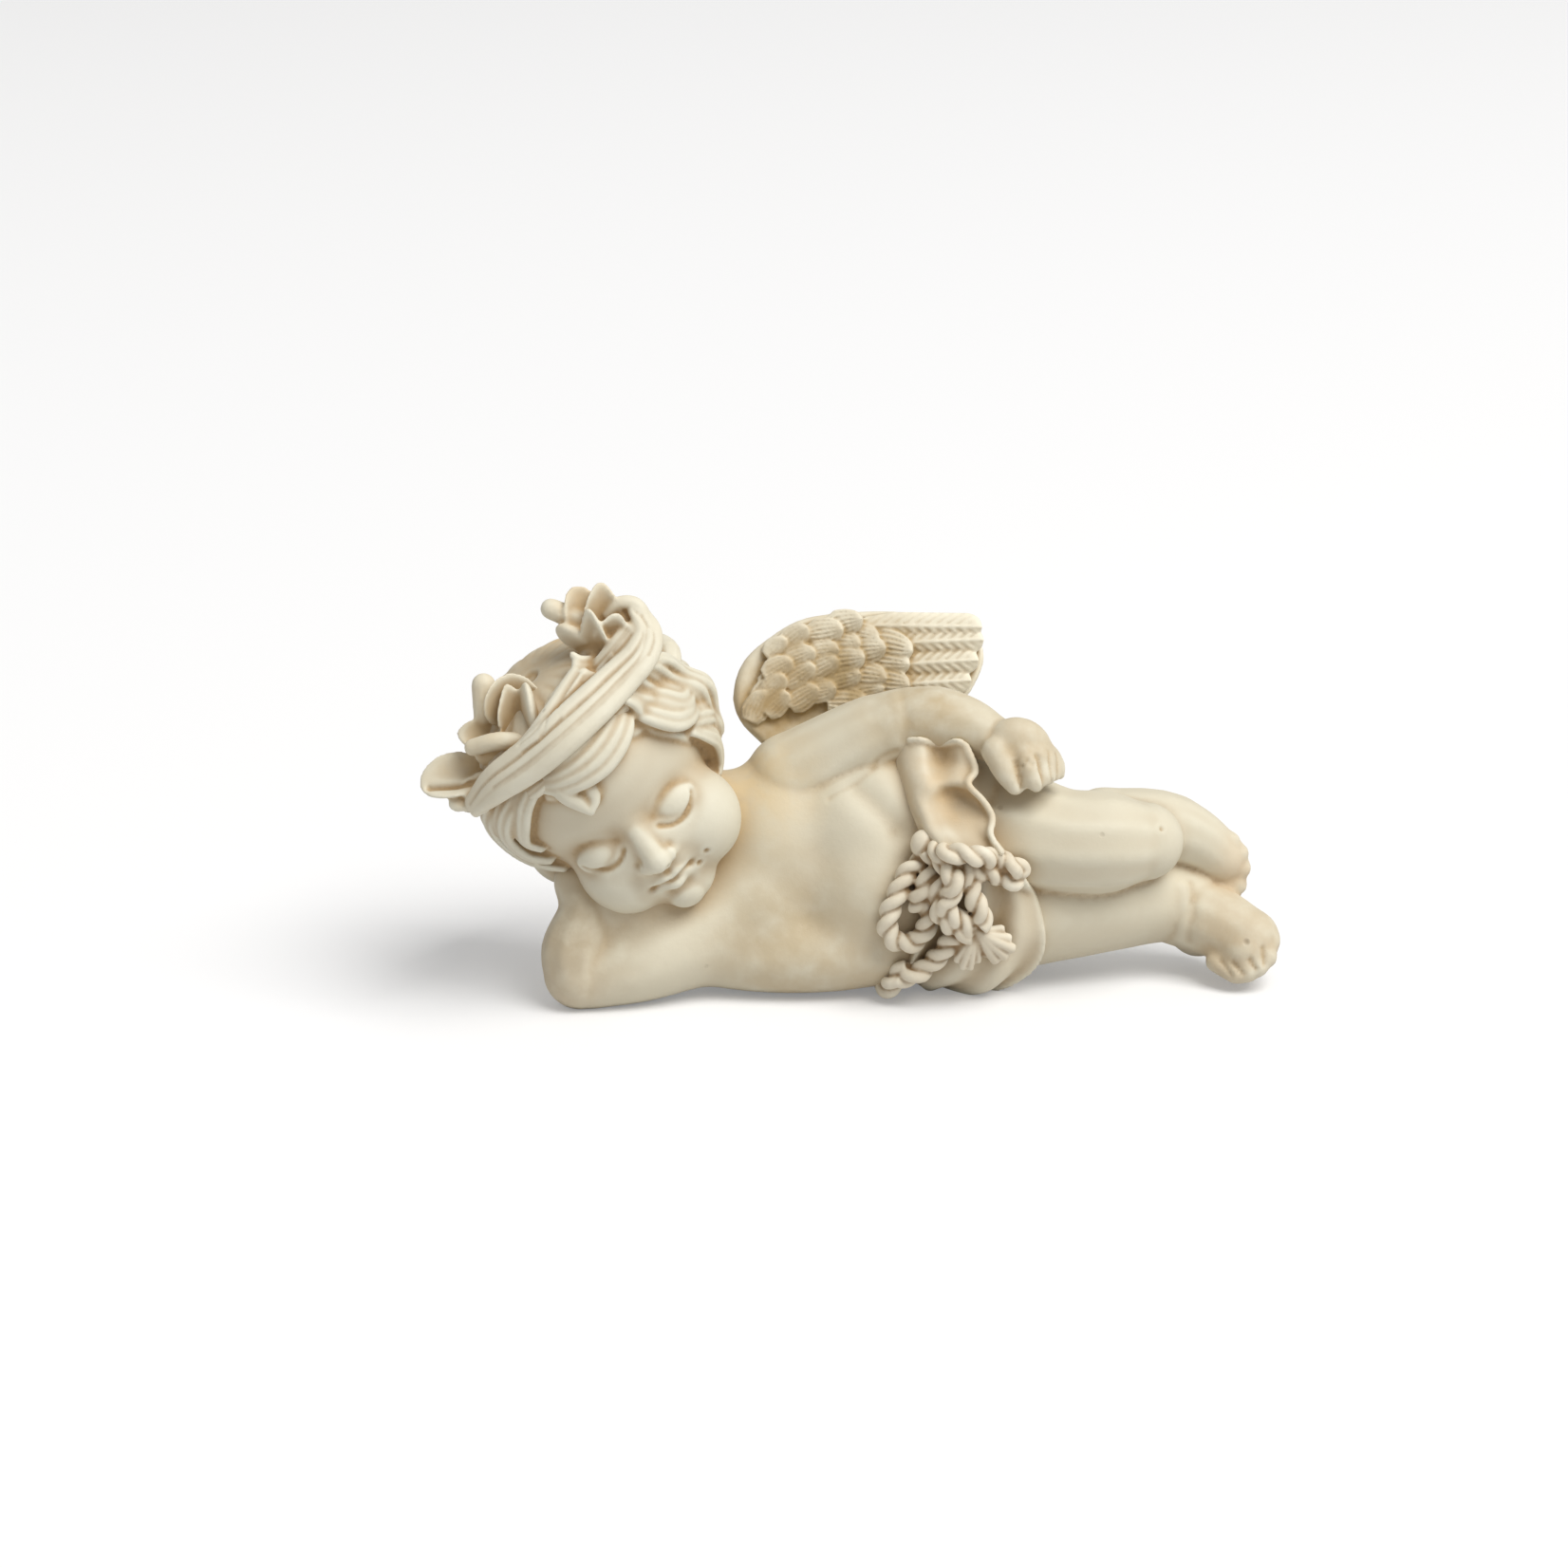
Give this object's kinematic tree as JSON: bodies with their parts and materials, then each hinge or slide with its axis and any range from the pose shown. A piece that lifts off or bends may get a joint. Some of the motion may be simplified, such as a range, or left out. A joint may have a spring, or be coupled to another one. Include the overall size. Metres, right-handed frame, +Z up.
{
  "type": "sleeping cherub figurine",
  "caption": "Winged child asleep on its side with its head on one hand, flower wreath and rope-tied cloth, cast in one piece on a flat ground sole; rests on a surface as an ornament.",
  "frame": {"origin": "centre of the bounding box at the plane of the ground sole", "axes": "+X from the head to the feet, -Y the side with the face, +Z up from the sole"},
  "size_m": [0.0762, 0.0324, 0.0383],
  "materials": {
    "resin": "matt cream cast resin, warm tan in the recesses of the carving, unpainted"
  },
  "bodies": {
    "root": {"cherub": "resin"}
  },
  "joints": []
}
